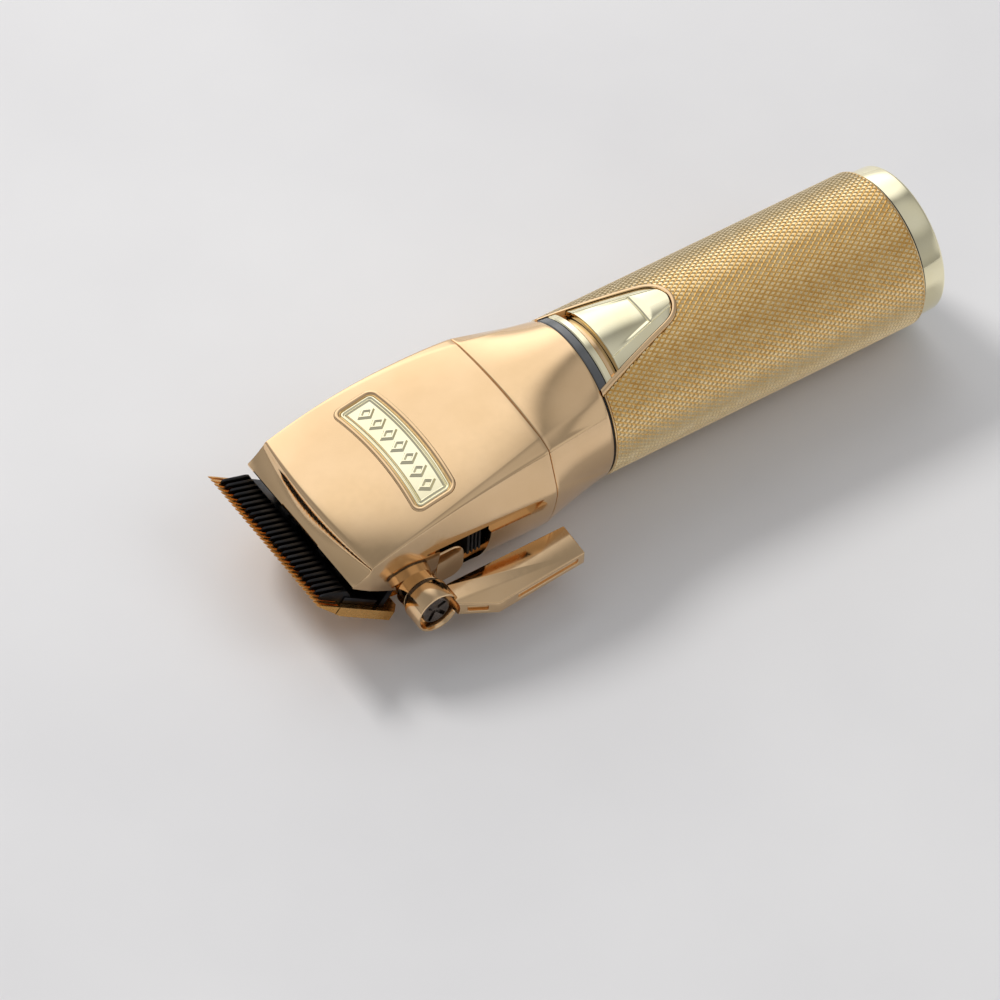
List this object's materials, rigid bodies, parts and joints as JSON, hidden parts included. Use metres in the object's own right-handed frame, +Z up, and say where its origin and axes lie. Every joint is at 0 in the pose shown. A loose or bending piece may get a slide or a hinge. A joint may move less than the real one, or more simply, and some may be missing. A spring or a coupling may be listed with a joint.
{
  "type": "hair clipper",
  "caption": "Cordless hair clipper: polished wedge head with taper lever and steel blades, knurled round grip, slide switch, and charging socket in the end.",
  "frame": {"origin": "mouth of the charging socket, on the grip's axis, in the plane of the end cap's outer face", "axes": "+X from the blades to the handle end along the grip's axis; +Z up, the badge side; -Y the taper lever's side"},
  "size_m": [0.1761, 0.061, 0.0394],
  "materials": {
    "rose_gold": "polished",
    "pale_gold": "polished",
    "knurled_gold": "knurled and anodised",
    "bronze_gold": "titanium coated, satin",
    "black_steel": "black coated",
    "dark_steel": "dark satin",
    "steel": "satin",
    "brass": "turned",
    "copper": "wound wire",
    "magnet_grey": "ground",
    "dark_plastic": "moulded",
    "black_plastic": "moulded",
    "black_rubber": "matte",
    "smoked_lens": "smoked, glossy",
    "lamp_white": "moulded",
    "board_green": "lacquered",
    "cell_wrap": "shrink wrap",
    "lead_red": "insulation"
  },
  "bodies": {
    "casing": {"front_housing": "rose_gold", "rear_housing": "rose_gold", "badge_frame": "rose_gold", "badge_plate": "pale_gold", "grip_sleeve": "knurled_gold", "front_seal": "black_rubber", "rear_seal": "black_rubber", "end_ring": "pale_gold", "end_cap": "dark_plastic", "charge_jack": "black_plastic", "chassis": "dark_plastic", "housing_screws": "steel", "switch_bezel": "rose_gold", "status_lens": "smoked_lens", "status_led": "lamp_white", "slide_switch": "steel", "main_board": "board_green", "board_screws": "steel", "battery_cell": "cell_wrap", "battery_cradle": "black_plastic", "battery_contacts": "steel", "battery_leads": "lead_red", "motor_leads": "lead_red", "motor_mount": "steel", "motor_can": "steel", "motor_end_bell": "black_plastic", "motor_screws": "steel", "motor_damper": "black_rubber", "stator": "copper", "front_bearing": "steel", "rear_bearing": "steel", "tension_leaf": "steel", "blade_seat": "black_steel", "blade_screws": "steel", "lever_bushing": "rose_gold", "detent_leaf": "steel", "detent_block": "rose_gold", "detent_rack": "black_plastic"},
    "rotor": {"rotor_shaft": "steel", "rotor_core": "magnet_grey", "drive_cam": "brass", "cam_bush": "steel"},
    "cutter": {"cutter_blade": "black_steel", "drive_yoke": "black_plastic"},
    "fixed_blade": {"fixed_blade": "bronze_gold", "taper_lug": "steel"},
    "taper_lever": {"lever_arm": "rose_gold", "lever_screw": "dark_steel", "lever_shaft": "steel", "lever_washer": "dark_steel", "detent_disc": "steel"},
    "power_slider": {"switch_slider": "pale_gold"}
  },
  "joints": [
    {"name": "rotor_spin", "type": "hinge", "parent": "casing", "child": "rotor", "pos_m": [-0.12, 0, -0.0035], "axis": [1, 0, 0], "continuous": true},
    {"name": "cutter_slide", "type": "slide", "parent": "casing", "child": "cutter", "axis": [0, 1, 0], "range_m": [-0.0013, 0.0013]},
    {"name": "taper_lever_swing", "type": "hinge", "parent": "casing", "child": "taper_lever", "pos_m": [-0.1492, -0.028, -0.0087], "axis": [0, -1, 0], "range_deg": [0, 60]},
    {"name": "fixed_blade_slide", "type": "slide", "parent": "casing", "child": "fixed_blade", "axis": [0.7986, 0, -0.6018], "range_m": [0, 0.0016]},
    {"name": "power_slide", "type": "slide", "parent": "casing", "child": "power_slider", "axis": [1, 0, 0], "range_m": [-0.002, 0]}
  ],
  "couplings": [
    {"joint": "fixed_blade_slide", "follows": "taper_lever_swing", "m_per_rad": 0.0015278}
  ]
}
